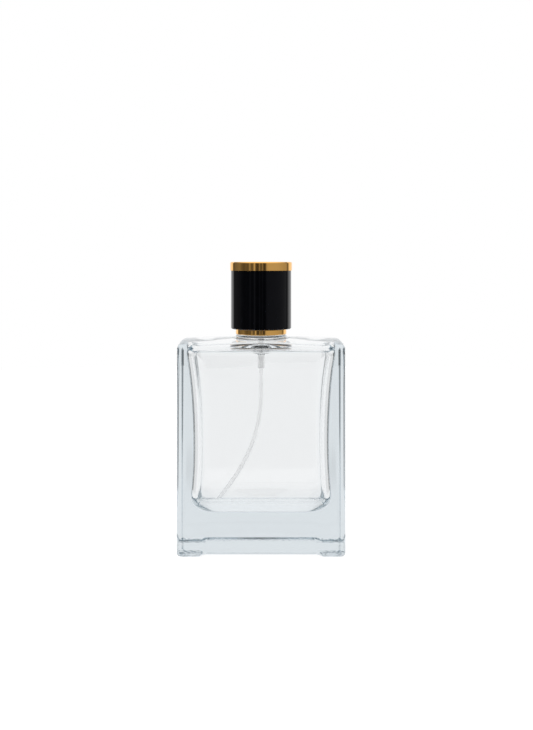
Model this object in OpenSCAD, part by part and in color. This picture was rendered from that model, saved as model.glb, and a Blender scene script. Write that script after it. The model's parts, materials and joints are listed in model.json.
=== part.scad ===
// Spray bottle for aftershave: thick-based rectangular glass flacon, crimped
// fine-mist pump with a curved dip tube, stepped gold collar and a round
// push-on cap. Millimetres, +Z up, origin at the centre of the base.

/* [Glass body] */
// Width of the glass body
body_w = 66.2; // [64:0.2:68]
// Depth of the glass body, front to back
body_d = 38; // [37:0.5:40]
// Height of the shoulder at the body's corners
body_h = 82.9; // [80:0.1:86]
// Rise of the shoulder's crown, along the width and again along the depth
dome_rise = 0.9; // [0.6:0.1:1]
// Radius of the upright corners
corner_r = 2.2; // [1.6:0.1:3]
// Radius of the edge round the shoulder
shoulder_r = 1.8; // [1.2:0.1:2.2]
// Radius of the heel, round the base
heel_r = 1.3; // [0.8:0.1:1.6]
// Side of each corner foot
foot_w = 9.5; // [7:0.5:11]
// Depth of the relief between the feet
foot_h = 0.9; // [0.4:0.1:1.2]
// Height of the cavity's floor above the base
floor_z = 15.6; // [14:0.2:17]

/* [Cap] */
// Diameter of the black cap
cap_d = 24.7; // [24.4:0.1:26]
// Diameter of the gold top of the cap
top_d = 25.4; // [25.2:0.1:27]
// Height of the cap
cap_h = 27.3; // [27.3:0.1:29]
// Height of the cap's gold top
top_h = 3.55; // [3:0.05:4.5]

/* [Pump] */
// Outer diameter of the dip tube
tube_d = 1.7; // [1.5:0.05:1.7]
// Inner diameter of the dip tube
tube_id = 1.0; // [0.6:0.1:1.1]
// Number of turns in the return spring
spring_turns = 5; // [4:0.5:5]
// Diameter of the spring's wire
wire_d = 0.38; // [0.3:0.01:0.4]
// Number of grip ribs inside the cap's liner
liner_ribs = 8; // [6:1:12]
// Number of slots in the collar's insert
insert_slots = 6; // [4:1:8]

/* [Hidden] */
$fn = 72;

hw = body_w / 2;
hd = body_d / 2;
up = body_h - 82.2;    // neck, pump and cap are drawn for a body 82.2 high
seat_z = 84.3 + up;    // flat seat under the collar
bead_z = 88.4 + up;    // underside of the neck's crimp bead
neck_z = 92 + up;      // top of the glass
bore_r = 4.5;          // neck bore
nozzle_z = 106.2 + up; // height of the spray nozzle
cap_z0 = 87.5 + up;    // lower edge of the cap
cap_z2 = cap_z0 + cap_h;
cap_z1 = cap_z2 - top_h;

// Blown cavity, its sections as height, half width, half depth, corner radius.
// The floor is a trough: a narrow flat, then sloped sides that ease into the
// walls, with a larger radius at the ends.
function ease(t) = let (u = max(0, min(1, t))) u * u * (3 - 2 * u);
function slope_d(t) =
    (2 * pow(t, 3) - 3 * pow(t, 2) + 1) * 8.75 + (pow(t, 3) - 2 * pow(t, 2) + t) * 7.85
    + (3 * pow(t, 2) - 2 * pow(t, 3)) * 14.4;
function floor_d(h) =
    h < 0.79 ? 4.57 + 4.18 * pow(h / 0.79, 0.42) : slope_d(min(1, (h - 0.79) / 6.28));
function end_w(h) = h >= 8.5 ? 0 : 7 * (1 - sqrt(1 - pow(1 - h / 8.5, 2)));
function wall_w(z) = 26.85 + 2.75 * pow(abs(z - 45) / 34, 2.2);
function section(z) =
    let (h = z - floor_z, d = floor_d(h) - 0.35 * ease((z - 24) / 20))
    [z, wall_w(z) - end_w(h), d, min(4.9 + 2.6 * ease((9.5 - h) / 7.5), d - 0.2)];
cavity = concat(
    [for (h = [0.02, 0.3, 0.79, 2, 3.6, 5.5, 8, 11]) section(floor_z + h)],
    [for (z = [32, 38, 44, 50, 56, 62, 67, 71]) section(z)],
    [for (z = [74.3, 77.3]) section(z + up)],
    [for (c = [[79.3, 29.4, 13.8, 4.9], [80.1, 29.0, 13.4, 4.9], [80.6, 28.4, 12.8, 4.9],
               [80.9, 27.4, 12.0, 5.0], [81.15, 24.5, 10.8, 5.4], [81.4, 19.5, 9.6, 6.0],
               [81.9, 13.8, 8.5, 6.8], [82.5, 10.0, 7.5, 7.0], [83.3, 7.4, 6.7, 6.5],
               [84.2, 5.7, 5.6, 5.5], [85.2, 4.8, 4.8, 4.7], [86.0, 4.45, 4.45, 4.4]])
     [c[0] + up, c[1], c[2], c[3]]]);

// Route of the dip tube's centre: x, z
tube_route = [for (p = [[0, 77.1], [0, 72], [0, 66], [0, 60], [-0.3, 55], [-1.1, 50],
                        [-2.3, 45], [-4.0, 40], [-6.3, 35], [-9.1, 30], [-12.3, 25],
                        [-15.8, 20], [-18.4, 16.4]]) [p[0], p[1] + up]];

// ---- surfaces built from rings -------------------------------------------

// One quarter turn of a rounded corner, k steps, at centre c from angle a0
function arc_pts(c, r, a0, k) =
    [for (i = [0:k]) let (a = a0 + 90 * i / k) [c[0] + r * cos(a), c[1] + r * sin(a)]];

// Points between p and q, both ends left out
function between(p, q, n) = [for (i = [1:n - 1]) p + (q - p) * i / n];

// Rounded rectangle, counter-clockwise, with nx and ny steps on its sides
function rounded(w, d, r, k = 6, nx = 10, ny = 4) =
    let (a = arc_pts([w - r, d - r], r, 0, k),
         b = arc_pts([-w + r, d - r], r, 90, k),
         c = arc_pts([-w + r, -d + r], r, 180, k),
         e = arc_pts([w - r, -d + r], r, 270, k))
    concat(a, between(a[k], b[0], nx), b, between(b[k], c[0], ny),
           c, between(c[k], e[0], nx), e, between(e[k], a[0], ny));

// Crown of the shoulder above body_h
function crown(x, y) =
    dome_rise * (1 - pow(x / hw, 2)) + dome_rise * (1 - pow(y / hd, 2));

function at_z(ring, z) = [for (p = ring) [p[0], p[1], z]];
function at_crown(ring, z) = [for (p = ring) [p[0], p[1], z + crown(p[0], p[1])]];
function scaled(ring, s) = [for (p = ring) [p[0] * s, p[1] * s]];

// Closed skin through rings of equal length, with a centre point at each end
module skin(rings, bottom, top) {
    n = len(rings[0]);
    m = len(rings);
    pts = concat([for (r = rings) for (p = r) p], [bottom, top]);
    sides = [for (i = [0:m - 2]) for (j = [0:n - 1]) let (j2 = (j + 1) % n)
             each [[i * n + j, (i + 1) * n + j, (i + 1) * n + j2],
                   [i * n + j, (i + 1) * n + j2, i * n + j2]]];
    caps = [for (j = [0:n - 1]) let (j2 = (j + 1) % n)
            each [[m * n, j, j2],
                  [m * n + 1, (m - 1) * n + j2, (m - 1) * n + j]]];
    polyhedron(points = pts, faces = concat(sides, caps), convexity = 8);
}

// ---- glass ------------------------------------------------------------------

function inset(d) = rounded(hw - d, hd - d, max(corner_r - d, 0.3));

module glass_block() {
    k = 4;
    heel = [for (i = [0:k]) let (a = 90 * i / k)
            at_z(inset(heel_r * (1 - sin(a))), heel_r * (1 - cos(a)))];
    edge = [for (i = [0:k]) let (a = 90 * i / k)
            at_crown(inset(shoulder_r * (1 - cos(a))), body_h - shoulder_r * (1 - sin(a)))];
    flat = [for (s = [0.8, 0.55, 0.3]) at_crown(scaled(inset(shoulder_r), s), body_h)];
    skin(concat(heel, edge, flat), [0, 0, 0], [0, 0, body_h + crown(0, 0)]);
}

module glass_cavity() {
    skin([for (c = cavity) at_z(rounded(c[1], c[2], c[3]), c[0])],
         [0, 0, floor_z], [0, 0, 86 + up]);
}

// Neck with its flare, seat and crimp bead
module glass_neck() {
    rotate_extrude()
        polygon([[0, seat_z - 1.7], [12.6, seat_z - 1.7], [12.1, seat_z - 0.55],
                 [11.4, seat_z - 0.15], [10.9, seat_z], [10.5, seat_z + 0.1], [10.3, seat_z + 0.7],
                 [10.1, seat_z + 0.8], [8.4, seat_z + 0.8], [8.0, seat_z + 0.4], [7.4, seat_z + 0.05],
                 [6.75, seat_z + 0.3],
                 [6.5, seat_z + 1], [6.5, bead_z], [7.5, bead_z + 0.8], [7.5, neck_z - 0.7],
                 [7.35, neck_z - 0.25], [6.9, neck_z], [0, neck_z]]);
}

module glass_bottle() {
    color([0.86, 0.91, 0.92, 0.35])
    difference() {
        union() {
            glass_block();
            glass_neck();
        }
        glass_cavity();
        translate([0, 0, 85.5 + up]) cylinder(r = bore_r, h = 8);
        // relief between the four feet
        translate([-hw + foot_w, -hd - 1, -1]) cube([body_w - 2 * foot_w, body_d + 2, 1 + foot_h]);
        translate([-hw - 1, -hd + foot_w, -1]) cube([body_w + 2, body_d - 2 * foot_w, 1 + foot_h]);
    }
}

// ---- pump ---------------------------------------------------------------------

module neck_gasket() {
    color("whitesmoke")
    translate([0, 0, up]) rotate_extrude() polygon([[4.3, 92], [7.3, 92], [7.3, 93], [4.3, 93]]);
}

// Barrel with ball seat, spring ledge and tube socket
module pump_housing() {
    color([0.93, 0.93, 0.92])
    translate([0, 0, up]) rotate_extrude() polygon([
        [tube_d / 2 + 0.15, 71.6], [1.2, 71.6], [1.375, 71.9], [1.375, 74], [1.28, 77.7],
        [1.9, 78.35], [3.0, 78.5], [3.25, 78.75], [3.25, 88.0], [4.2, 88.7], [4.2, 93],
        [6.3, 93], [6.3, 94], [3.4, 94], [3.4, 91.8], [2.5, 91.8], [2.5, 82.4],
        [1.35, 82.4], [1.05, 82.1], [1.05, 81.9], [1.45, 81.6], [1.45, 79.9],
        [0.45, 79.0], [0.45, 77.2], [tube_d / 2, 77.2], [tube_d / 2, 71.9]]);
}

module inlet_ball() {
    color("silver") translate([0, 0, 80.22 + up]) sphere(r = 1.2);
}

spring_z0 = 82.4 + up;
spring_z1 = 88.4 + up;
spring_r = 1.95;

// Closed and ground ends: the pitch opens out towards the middle
function spring_at(t) =
    let (a = 360 * spring_turns * t,
         z0 = spring_z0 + wire_d / 2 + 0.01, z1 = spring_z1 - wire_d / 2 - 0.01,
         s = t < 0.2 ? 0.4 * t : t > 0.8 ? 1 - 0.4 * (1 - t) : 0.08 + (t - 0.2) * 1.4)
    [spring_r * cos(a), spring_r * sin(a), z0 + (z1 - z0) * s];

module return_spring() {
    n = 24 * spring_turns;
    k = 8;
    rings = [for (i = [0:n]) let (t = i / n, p = spring_at(t), a = 360 * spring_turns * t)
             [for (j = [0:k - 1]) let (b = 360 * j / k)
              [p[0] + wire_d / 2 * cos(b) * cos(a), p[1] + wire_d / 2 * cos(b) * sin(a),
               p[2] + wire_d / 2 * sin(b)]]];
    color("silver")
    mirror([0, 1, 0])
    skin(rings, spring_at(0), spring_at(1));
}

// Lower half of the stem: spring guide, valve flange and the rod that plugs
// into the upper half; the liquid enters through the cross hole
module stem_core() {
    color([0.95, 0.95, 0.94])
    difference() {
        translate([0, 0, up]) rotate_extrude() polygon([
            [0, 87.4], [1.3, 87.4], [1.5, 87.7], [1.5, 88.4], [2.2, 88.4], [2.2, 88.9],
            [0.95, 88.9], [0.95, 92.8], [0.45, 92.8], [0.45, 88.97], [0, 88.97]]);
        translate([-1.5, 0, 89.17 + up]) rotate([0, 90, 0]) cylinder(r = 0.2, h = 3, $fn = 24);
    }
}

// Spool with two lips; it has 0.5 mm of free travel on the core and covers
// the cross hole while it is down
module piston() {
    color("white")
    translate([0, 0, up]) rotate_extrude() polygon([
        [1.0, 88.92], [2.25, 88.92], [2.47, 89.0], [2.47, 89.2], [2.0, 89.5],
        [1.8, 89.7], [1.8, 90.0], [2.0, 90.2], [2.47, 90.45], [2.47, 90.62], [2.25, 90.72],
        [1.0, 90.72]]);
}

module stem() {
    color([0.95, 0.95, 0.94])
    translate([0, 0, up]) rotate_extrude() polygon([
        [0.95, 91.25], [1.9, 91.25], [1.9, 91.75], [1.6, 91.75], [1.6, 103.9],
        [1.4, 104.2], [0.7, 104.2], [0.7, 92.8], [0.95, 92.8]]);
}

module stem_gasket() {
    color([0.25, 0.25, 0.25])
    translate([0, 0, up]) rotate_extrude() polygon([[1.65, 91.8], [3.4, 91.8], [3.4, 92.4], [1.65, 92.4]]);
}

module turret() {
    color([0.93, 0.93, 0.92])
    translate([0, 0, up]) rotate_extrude() polygon([
        [1.65, 92.4], [3.4, 92.4], [3.4, 94], [5.2, 94], [5.2, 94.8],
        [2.9, 94.8], [2.9, 96.1], [2.6, 96.4], [1.65, 96.4]]);
}

// Drawn aluminium cup, crimped under the bead
module ferrule() {
    color([0.88, 0.72, 0.38])
    translate([0, 0, up]) rotate_extrude() polygon([
        [3.0, 94.8], [5.2, 94.8], [5.2, 94.0], [6.35, 94.0], [6.35, 93.0], [7.55, 93.0],
        [7.55, 89.18], [6.9, 88.66], [7.15, 88.33], [7.95, 88.97], [7.95, 93.15],
        [7.7, 93.4], [6.75, 93.4], [6.75, 94.2], [6.55, 94.4], [5.6, 94.4], [5.6, 95.0],
        [5.4, 95.2], [3.0, 95.2]]);
}

// ---- dip tube -------------------------------------------------------------------

// Catmull-Rom curve through the route
function spline(p, i, t) =
    let (a = p[max(i - 1, 0)], b = p[i], c = p[i + 1], d = p[min(i + 2, len(p) - 1)])
    0.5 * (2 * b + (c - a) * t + (2 * a - 5 * b + 4 * c - d) * t * t
           + (3 * b - a - 3 * c + d) * t * t * t);

tube_line = concat([for (i = [0:len(tube_route) - 2]) for (k = [0:2]) spline(tube_route, i, k / 3)],
                   [tube_route[len(tube_route) - 1]]);

function unit(v) = v / norm(v);

// Ring of radius r across the tube at its i-th point
function tube_ring(i, r, n) =
    let (p = tube_line, m = len(p) - 1,
         t = unit(p[min(i + 1, m)] - p[max(i - 1, 0)]), s = [-t[1], t[0]])
    [for (j = [0:n - 1]) let (a = 360 * j / n)
     [p[i][0] + r * cos(a) * s[0], r * sin(a), p[i][1] + r * cos(a) * s[1]]];

module dip_tube() {
    n = 16;
    m = len(tube_line);
    pts = concat([for (i = [0:m - 1]) each tube_ring(i, tube_d / 2, n)],
                 [for (i = [0:m - 1]) each tube_ring(i, tube_id / 2, n)]);
    o = m * n;
    faces = [for (i = [0:m - 2]) for (j = [0:n - 1]) let (j2 = (j + 1) % n)
             each [[i * n + j, (i + 1) * n + j, (i + 1) * n + j2],
                   [i * n + j, (i + 1) * n + j2, i * n + j2],
                   [o + i * n + j, o + (i + 1) * n + j2, o + (i + 1) * n + j],
                   [o + i * n + j, o + i * n + j2, o + (i + 1) * n + j2]]];
    ends = [for (j = [0:n - 1]) let (j2 = (j + 1) % n, e = (m - 1) * n)
            each [[j, j2, o + j2], [j, o + j2, o + j],
                  [e + j, o + e + j2, e + j2], [e + j, o + e + j, o + e + j2]]];
    color([0.95, 0.95, 0.94, 0.6])
    polyhedron(points = pts, faces = concat(faces, ends), convexity = 6);
}

// ---- collar ---------------------------------------------------------------------

module collar_insert() {
    color("ivory")
    difference() {
        translate([0, 0, up]) rotate_extrude() polygon([
            [7.95, 85.5], [9.7, 85.5], [9.95, 85.7], [9.95, 87.05], [8.75, 87.05],
            [8.75, 97.2], [8.5, 97.4], [8.0, 97.4], [7.2, 94.5], [7.2, 93.4], [7.95, 93.4]]);
        for (i = [0:insert_slots - 1]) rotate([0, 0, 360 * (i + 0.5) / insert_slots])
            translate([7, -0.6, 94.6 + up]) cube([3, 1.2, 4]);
    }
}

// Stepped aluminium shell with a rolled foot and an in-turned lip
module collar() {
    color([0.83, 0.63, 0.28])
    translate([0, 0, up]) rotate_extrude() polygon([
        [9.95, 85.45], [10.05, 85.35], [10.3, 85.35], [10.4, 85.5], [10.4, 87.3], [10.25, 87.5],
        [9.2, 87.5], [9.2, 100.1], [8.95, 100.4], [6.8, 100.4], [6.8, 100.0],
        [8.75, 100.0], [8.75, 87.05], [9.95, 87.05]]);
}

// ---- spray button -----------------------------------------------------------------

module actuator() {
    color([0.12, 0.12, 0.12])
    difference() {
        translate([0, 0, up]) rotate_extrude() polygon([
            [1.63, 100.6], [2.7, 100.6], [2.7, 103.6], [4.9, 103.6], [4.9, 99.6], [6.1, 99.6],
            [6.1, 110.5], [0, 110.5], [0, 107.0], [0.7, 107.0], [0.7, 104.22], [1.63, 104.22]]);
        translate([0, -3.6, nozzle_z]) rotate([90, 0, 0]) cylinder(r = 1.6, h = 4);
        translate([0, 0.2, nozzle_z]) rotate([90, 0, 0]) cylinder(r = 0.5, h = 4, $fn = 24);
    }
}

// Orifice cup pressed into the button, with a 0.3 mm hole
module nozzle_insert() {
    color("white")
    translate([0, -4.0, nozzle_z]) rotate([90, 0, 0])
        rotate_extrude() polygon([
            [0.9, 0], [1.6, 0], [1.6, 1.9], [1.45, 2.15], [0.55, 2.15], [0.15, 1.85],
            [0.15, 1.3], [0.9, 1.0]]);
}

module actuator_shell() {
    color([0.83, 0.63, 0.28])
    difference() {
        translate([0, 0, up]) rotate_extrude() polygon([
            [6.1, 99.4], [6.5, 99.4], [6.5, 110.4], [6.35, 110.75], [6.0, 110.9], [0, 110.9],
            [0, 110.5], [6.1, 110.5]]);
        translate([0, -4, nozzle_z]) rotate([90, 0, 0]) cylinder(r = 2.0, h = 4);
    }
}

// ---- cap --------------------------------------------------------------------------

cap_r = cap_d / 2;
top_r = top_d / 2;
liner_z1 = 112.2 + up;

module cap_liner() {
    color("whitesmoke") {
        translate([0, 0, up]) rotate_extrude() polygon([
            [9.8, 87.6], [10.6, 87.6], [10.6, 112.2], [0, 112.2], [0, 111.4],
            [9.55, 111.4], [9.55, 88.0]]);
        for (i = [0:liner_ribs - 1]) rotate([0, 0, 360 * (i + 0.5) / liner_ribs])
            intersection() {
                translate([8.5, -0.6, 89 + up]) cube([1.6, 1.2, 11]);
                difference() {
                    translate([0, 0, 88.8 + up]) cylinder(r = 9.9, h = 11.4);
                    translate([0, 0, 88 + up]) cylinder(r = 9.26, h = 13);
                }
            }
    }
}

module cap_shell() {
    color([0.03, 0.03, 0.04])
    rotate_extrude() polygon([
        [10.6, cap_z0], [cap_r - 0.5, cap_z0], [cap_r - 0.15, cap_z0 + 0.15],
        [cap_r, cap_z0 + 0.5], [cap_r, cap_z1], [top_r - 0.5, cap_z1],
        [top_r - 0.5, cap_z2 - 0.5], [0, cap_z2 - 0.5], [0, liner_z1], [10.6, liner_z1]]);
}

module cap_top() {
    color([0.83, 0.63, 0.28])
    rotate_extrude() polygon([
        [top_r - 0.5, cap_z1], [top_r - 0.12, cap_z1], [top_r, cap_z1 + 0.12],
        [top_r, cap_z2 - 0.5], [top_r - 0.15, cap_z2 - 0.15], [top_r - 0.5, cap_z2],
        [0, cap_z2], [0, cap_z2 - 0.5], [top_r - 0.5, cap_z2 - 0.5]]);
}

glass_bottle();
neck_gasket();
pump_housing();
inlet_ball();
return_spring();
stem_core();
piston();
stem();
stem_gasket();
turret();
ferrule();
dip_tube();
collar_insert();
collar();
actuator();
nozzle_insert();
actuator_shell();
cap_liner();
cap_shell();
cap_top();
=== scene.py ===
import json
import math
import bpy
import bmesh
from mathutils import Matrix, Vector, noise


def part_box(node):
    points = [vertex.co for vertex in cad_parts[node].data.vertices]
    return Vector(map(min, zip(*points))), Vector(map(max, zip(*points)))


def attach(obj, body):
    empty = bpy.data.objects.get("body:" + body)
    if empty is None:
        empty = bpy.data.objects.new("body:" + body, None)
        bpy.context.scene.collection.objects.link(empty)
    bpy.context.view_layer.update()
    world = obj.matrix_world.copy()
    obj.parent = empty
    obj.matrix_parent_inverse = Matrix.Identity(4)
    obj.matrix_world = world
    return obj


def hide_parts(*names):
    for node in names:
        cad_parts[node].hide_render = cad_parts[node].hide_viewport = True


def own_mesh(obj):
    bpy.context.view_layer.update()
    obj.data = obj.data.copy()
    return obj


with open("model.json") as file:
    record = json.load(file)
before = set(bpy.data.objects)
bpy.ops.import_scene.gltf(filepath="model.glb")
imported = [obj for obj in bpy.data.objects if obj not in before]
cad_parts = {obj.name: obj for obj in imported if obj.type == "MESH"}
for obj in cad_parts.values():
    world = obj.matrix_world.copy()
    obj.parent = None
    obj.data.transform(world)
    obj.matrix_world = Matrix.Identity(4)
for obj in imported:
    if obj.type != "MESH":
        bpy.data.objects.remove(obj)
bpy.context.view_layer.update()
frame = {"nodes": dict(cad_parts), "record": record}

MM = 0.001


def node_box(name):
    lo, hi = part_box(name)
    return Vector(lo) / MM, Vector(hi) / MM


# ---------------------------------------------------------------- camera
scene = bpy.context.scene
cam_data = bpy.data.cameras.new("camera")
cam = bpy.data.objects.new("camera", cam_data)
scene.collection.objects.link(cam)
scene.camera = cam
cam.location = (0.0, -0.403, 0.1154)
cam.rotation_euler = (math.radians(90), 0, 0)
cam_data.sensor_width = 36
cam_data.lens = 48.5
cam_data.shift_x = 0.0074
cam_data.shift_y = -0.141
cam_data.clip_start = 0.01
cam_data.clip_end = 20

# ---------------------------------------------------------------- sizes (mm)
g_lo, g_hi = node_box("glass_bottle")
HW, HD = g_hi.x, g_hi.y
NECK_TOP = g_hi.z
BODY_H, DOME = 82.9, 0.9
CORNER_R, SHOULDER_R, HEEL_R = 2.2, 1.8, 1.3
FOOT_W, FOOT_H, FLOOR_Z = 9.5, 0.9, 15.6
SEAT_Z, BEAD_Z, BORE_R = 85.0, 89.1, 4.5
UP = SEAT_Z - 84.3   # the neck and pump were laid out for a seat at 84.3


def floor_d(h):
    """Half depth of the trough-shaped floor, at height h over its lowest line."""
    pts = [(0, 4.57), (0.06, 5.93), (0.21, 7.09), (0.41, 7.94), (0.61, 8.45), (0.79, 8.75)]
    for (h0, d0), (h1, d1) in zip(pts, pts[1:]):
        if h <= h1:
            return d0 + (d1 - d0) * (h - h0) / (h1 - h0)
    t = min(1.0, (h - 0.79) / 6.28)
    return ((2 * t ** 3 - 3 * t ** 2 + 1) * 8.75 + (t ** 3 - 2 * t ** 2 + t) * 6.28 * 1.25
            + (-2 * t ** 3 + 3 * t ** 2) * 14.4)


def end_w(h):
    return 0.0 if h >= 8.5 else 7.0 * (1 - math.sqrt(1 - (1 - h / 8.5) ** 2))


def wall_w(z):
    return 26.85 + 2.75 * (abs(z - 45) / 34) ** 2.2


def section(z):
    h = z - FLOOR_Z
    d = floor_d(h) - 0.35 * smooth((z - 24) / 20)
    return (z, wall_w(z) - end_w(h), d, min(4.9 + 2.6 * smooth((9.5 - h) / 7.5), d - 0.2))


def smooth(t):
    t = max(0.0, min(1.0, t))
    return t * t * (3 - 2 * t)


CAVITY = ([section(FLOOR_Z + h) for h in (0.0, 0.06, 0.21, 0.41, 0.61, 0.79, 1.3, 2.0, 2.8, 3.8, 5.0, 6.2, 7.2, 9.0, 11.5)]
          + [section(z) for z in (31, 36, 42, 48, 54, 60, 66, 71, 75, 78)]
          + [(80.0, 29.4, 13.8, 4.9), (80.8, 29.0, 13.4, 4.9), (81.3, 28.4, 12.8, 4.9), (81.6, 27.4, 12.0, 5.0),
             (81.85, 24.5, 10.8, 5.4), (82.1, 19.5, 9.6, 6.0), (82.6, 13.8, 8.5, 6.8), (83.2, 10.0, 7.5, 7.0),
             (84.0, 7.4, 6.7, 6.5), (84.9, 5.7, 5.6, 5.5), (85.7, 4.85, 4.85, 4.75)])
TUBE_ROUTE = [(x, z + 0.7) for x, z in [
    (0, 77.1), (0, 72), (0, 66), (0, 60), (-0.3, 55), (-1.1, 50), (-2.3, 45), (-4.0, 40),
    (-6.3, 35), (-9.1, 30), (-12.3, 25), (-15.8, 20), (-18.4, 16.4)]]


# ---------------------------------------------------------------- mesh tools
def make_object(name, verts, faces, sharp_deg=40):
    me = bpy.data.meshes.new(name)
    me.from_pydata([tuple(c * MM for c in v) for v in verts], [], faces)
    bm = bmesh.new()
    bm.from_mesh(me)
    bmesh.ops.recalc_face_normals(bm, faces=bm.faces)
    bm.to_mesh(me)
    bm.free()
    for p in me.polygons:
        p.use_smooth = True
    if sharp_deg:
        me.set_sharp_from_angle(angle=math.radians(sharp_deg))
    me.validate()
    ob = bpy.data.objects.new(name, me)
    scene.collection.objects.link(ob)
    return ob


def rounded_profile(loop, steps=5, support=0.07):
    """Closed (r, z, fillet) loop with its corners rounded and support points
    beside each rounding. Points on the axis stay sharp."""
    n = len(loop)
    out = []
    for i in range(n):
        p0, p1, p2 = loop[i - 1], loop[i], loop[(i + 1) % n]
        a, b, c = Vector(p0[:2]), Vector(p1[:2]), Vector(p2[:2])
        f = p1[2] if len(p1) > 2 else 0.0
        u, v = (a - b), (c - b)
        lu, lv = u.length, v.length
        u.normalize()
        v.normalize()
        ang = u.angle(v, 0.0)
        if f <= 0 or ang < 0.05 or ang > math.pi - 0.02:
            out.append((b.x, b.y))
            continue
        t = min(f / math.tan(ang / 2), lu * 0.45, lv * 0.45)
        r = t * math.tan(ang / 2)
        s, e = b + u * t, b + v * t
        centre = b + (u + v).normalized() * (r / math.sin(ang / 2))
        if lu > t + support * 3:
            out.append(tuple(s + u * support))
        a0 = math.atan2(s.y - centre.y, s.x - centre.x)
        a1 = math.atan2(e.y - centre.y, e.x - centre.x)
        d = (a1 - a0 + math.pi) % (2 * math.pi) - math.pi
        for k in range(steps + 1):
            w = a0 + d * k / steps
            out.append((centre.x + r * math.cos(w), centre.y + r * math.sin(w)))
        if lv > t + support * 3:
            out.append(tuple(e + v * support))
    return [(max(x, 0.0), y) for x, y in out]


def lathe(name, loop, seg=128, steps=5, support=0.07, fillet=0.0, sharp_deg=40, centre=(0, 0), cuts=()):
    """Solid of revolution round Z from a closed (r, z[, fillet]) loop in mm."""
    loop = [(p[0], p[1], p[2] if len(p) > 2 else (fillet if p[0] > 0 else 0.0)) for p in loop]
    prof = rounded_profile(loop, steps, support)
    verts, rings = [], []
    for r, z in prof:
        if r < 1e-6:
            rings.append([len(verts)])
            verts.append((centre[0], centre[1], z))
        else:
            rings.append(list(range(len(verts), len(verts) + seg)))
            for j in range(seg):
                a = 2 * math.pi * j / seg
                verts.append((centre[0] + r * math.cos(a), centre[1] + r * math.sin(a), z))
    faces = []
    m = len(rings)
    for i in range(m):
        a, b = rings[i], rings[(i + 1) % m]
        if len(a) == 1 and len(b) == 1:
            continue
        for j in range(seg):
            k = (j + 1) % seg
            if len(a) == 1:
                faces.append((a[0], b[j], b[k]))
            elif len(b) == 1:
                faces.append((a[j], b[0], a[k]))
            else:
                faces.append((a[j], b[j], b[k], a[k]))
    return make_object(name, verts, faces, sharp_deg)


def cut(ob, cutters, sharp_deg=40):
    """Boolean difference, applied to the mesh."""
    for c in cutters:
        md = ob.modifiers.new("cut", "BOOLEAN")
        md.operation = "DIFFERENCE"
        md.solver = "EXACT"
        md.object = c
        dg = bpy.context.evaluated_depsgraph_get()
        me = bpy.data.meshes.new_from_object(ob.evaluated_get(dg))
        ob.modifiers.clear()
        old = ob.data
        ob.data = me
        bpy.data.meshes.remove(old)
    for c in cutters:
        me = c.data
        bpy.data.objects.remove(c)
        bpy.data.meshes.remove(me)
    for p in ob.data.polygons:
        p.use_smooth = True
    ob.data.set_sharp_from_angle(angle=math.radians(sharp_deg))
    return ob


def turned(ob, rot, loc=(0, 0, 0)):
    """Applies a rotation (degrees) and then a move (mm) to an object's mesh."""
    from mathutils import Euler, Matrix
    m = Matrix.Translation(Vector(loc) * MM) @ Euler([math.radians(r) for r in rot]).to_matrix().to_4x4()
    ob.data.transform(m)
    return ob


def arc_pts(cx, cy, r, a0, k):
    return [(cx + r * math.cos(math.radians(a0 + 90 * i / k)),
             cy + r * math.sin(math.radians(a0 + 90 * i / k))) for i in range(k + 1)]


def between(p, q, n):
    return [(p[0] + (q[0] - p[0]) * i / n, p[1] + (q[1] - p[1]) * i / n) for i in range(1, n)]


K, NX, NY = 14, 48, 28


def rounded(w, d, r):
    """Rounded rectangle whose first point is the start of the +X +Y corner."""
    a = arc_pts(w - r, d - r, r, 0, K)
    b = arc_pts(-w + r, d - r, r, 90, K)
    c = arc_pts(-w + r, -d + r, r, 180, K)
    e = arc_pts(w - r, -d + r, r, 270, K)
    return (a + between(a[K], b[0], NX) + b + between(b[K], c[0], NY)
            + c + between(c[K], e[0], NX) + e + between(e[K], a[0], NY))


RING_N = len(rounded(10, 8, 1))
# angle on a circle for each index of a ring: even within each quarter
_quarter = RING_N // 4
_start = -(NY / 2)


def ring_angle(i):
    # index of the +X axis direction is -NY/2
    return (i + NY / 2) / RING_N * 2 * math.pi


def circle(r, d=None):
    d = r if d is None else d
    return [(r * math.cos(ring_angle(i)), d * math.sin(ring_angle(i))) for i in range(RING_N)]


def lerp_ring(a, b, t):
    return [(p[0] + (q[0] - p[0]) * t, p[1] + (q[1] - p[1]) * t) for p, q in zip(a, b)]


def crown(x, y):
    return DOME * (1 - (x / HW) ** 2) + DOME * (1 - (y / HD) ** 2)


def flare(r):
    """Raised foot of the neck, as a height over its radius."""
    pts = [(10.9, 85.0), (11.4, 84.85), (12.1, 84.45), (12.6, 83.3), (13.2, 81.6)]
    if r <= pts[0][0]:
        return pts[0][1]
    for (r0, z0), (r1, z1) in zip(pts, pts[1:]):
        if r <= r1:
            return z0 + (z1 - z0) * (r - r0) / (r1 - r0)
    return -1e3


def smax(a, b, k):
    h = max(k - abs(a - b), 0.0) / k
    return max(a, b) + h * h * k * 0.25


def top_z(x, y):
    return smax(BODY_H + crown(x, y), flare(math.hypot(x, y)), 0.5)


def base_z(x, y):
    """Relief of the underside: four feet with soft edges."""
    sx = smooth((abs(x) - (HW - FOOT_W) + 1.3) / 2.0)
    sy = smooth((abs(y) - (HD - FOOT_W) + 1.3) / 2.0)
    return FOOT_H * (1 - sx * sy)


def catmull(p0, p1, p2, p3, t):
    return tuple(0.5 * (2 * b + (c - a) * t + (2 * a - 5 * b + 4 * c - d) * t * t + (3 * b - a - 3 * c + d) * t ** 3)
                 for a, b, c, d in zip(p0, p1, p2, p3))


def ripple(x, y, z, amp):
    """Slow unevenness of blown glass, in mm."""
    return amp * noise.noise(Vector((x * 0.045 + 3.1, y * 0.07 - 1.7, z * 0.05 + 0.4)))


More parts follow.
